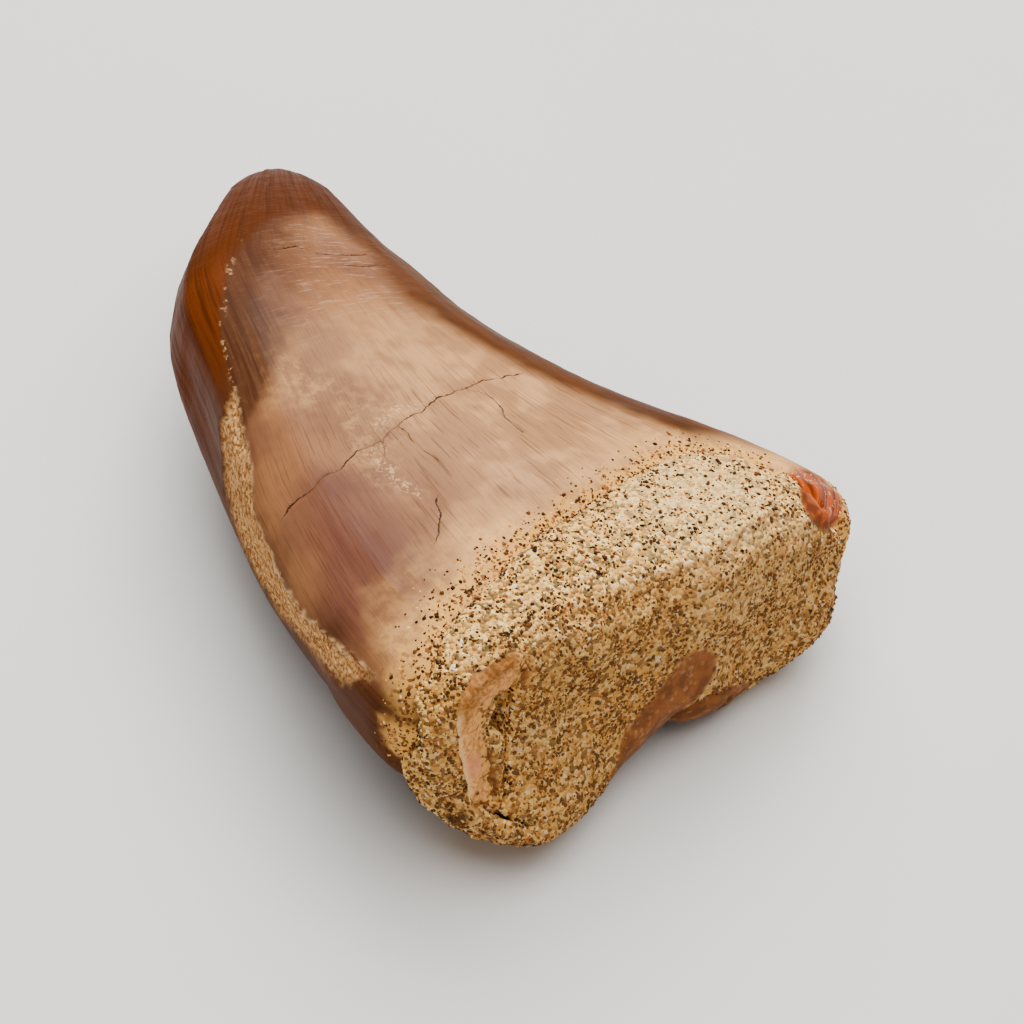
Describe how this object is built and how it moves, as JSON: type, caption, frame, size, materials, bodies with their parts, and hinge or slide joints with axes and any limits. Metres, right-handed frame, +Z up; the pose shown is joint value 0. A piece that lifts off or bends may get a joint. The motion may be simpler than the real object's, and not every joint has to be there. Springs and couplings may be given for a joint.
{
  "type": "fossil mosasaur tooth",
  "caption": "Fossil marine-reptile tooth: a blunt curved enamel crown lying on its side, its hollow broken base filled and crusted with sandy matrix.",
  "frame": {"origin": "under the middle of the tooth's bounding box, on the surface that it lies on", "axes": "+Z up from the surface; -X towards the tip and +X towards the broken base; -Y towards the long convex edge and +Y towards the concave edge"},
  "size_m": [0.0514, 0.0338, 0.0157],
  "materials": {
    "tooth_crown": "polished, worn fossil enamel with fine striae and dark cracks",
    "sandy_matrix": "matte, cemented golden sand with dark and pale grains"
  },
  "bodies": {
    "root": {"tooth_crown": "tooth_crown", "sandy_matrix": "sandy_matrix"}
  },
  "joints": []
}
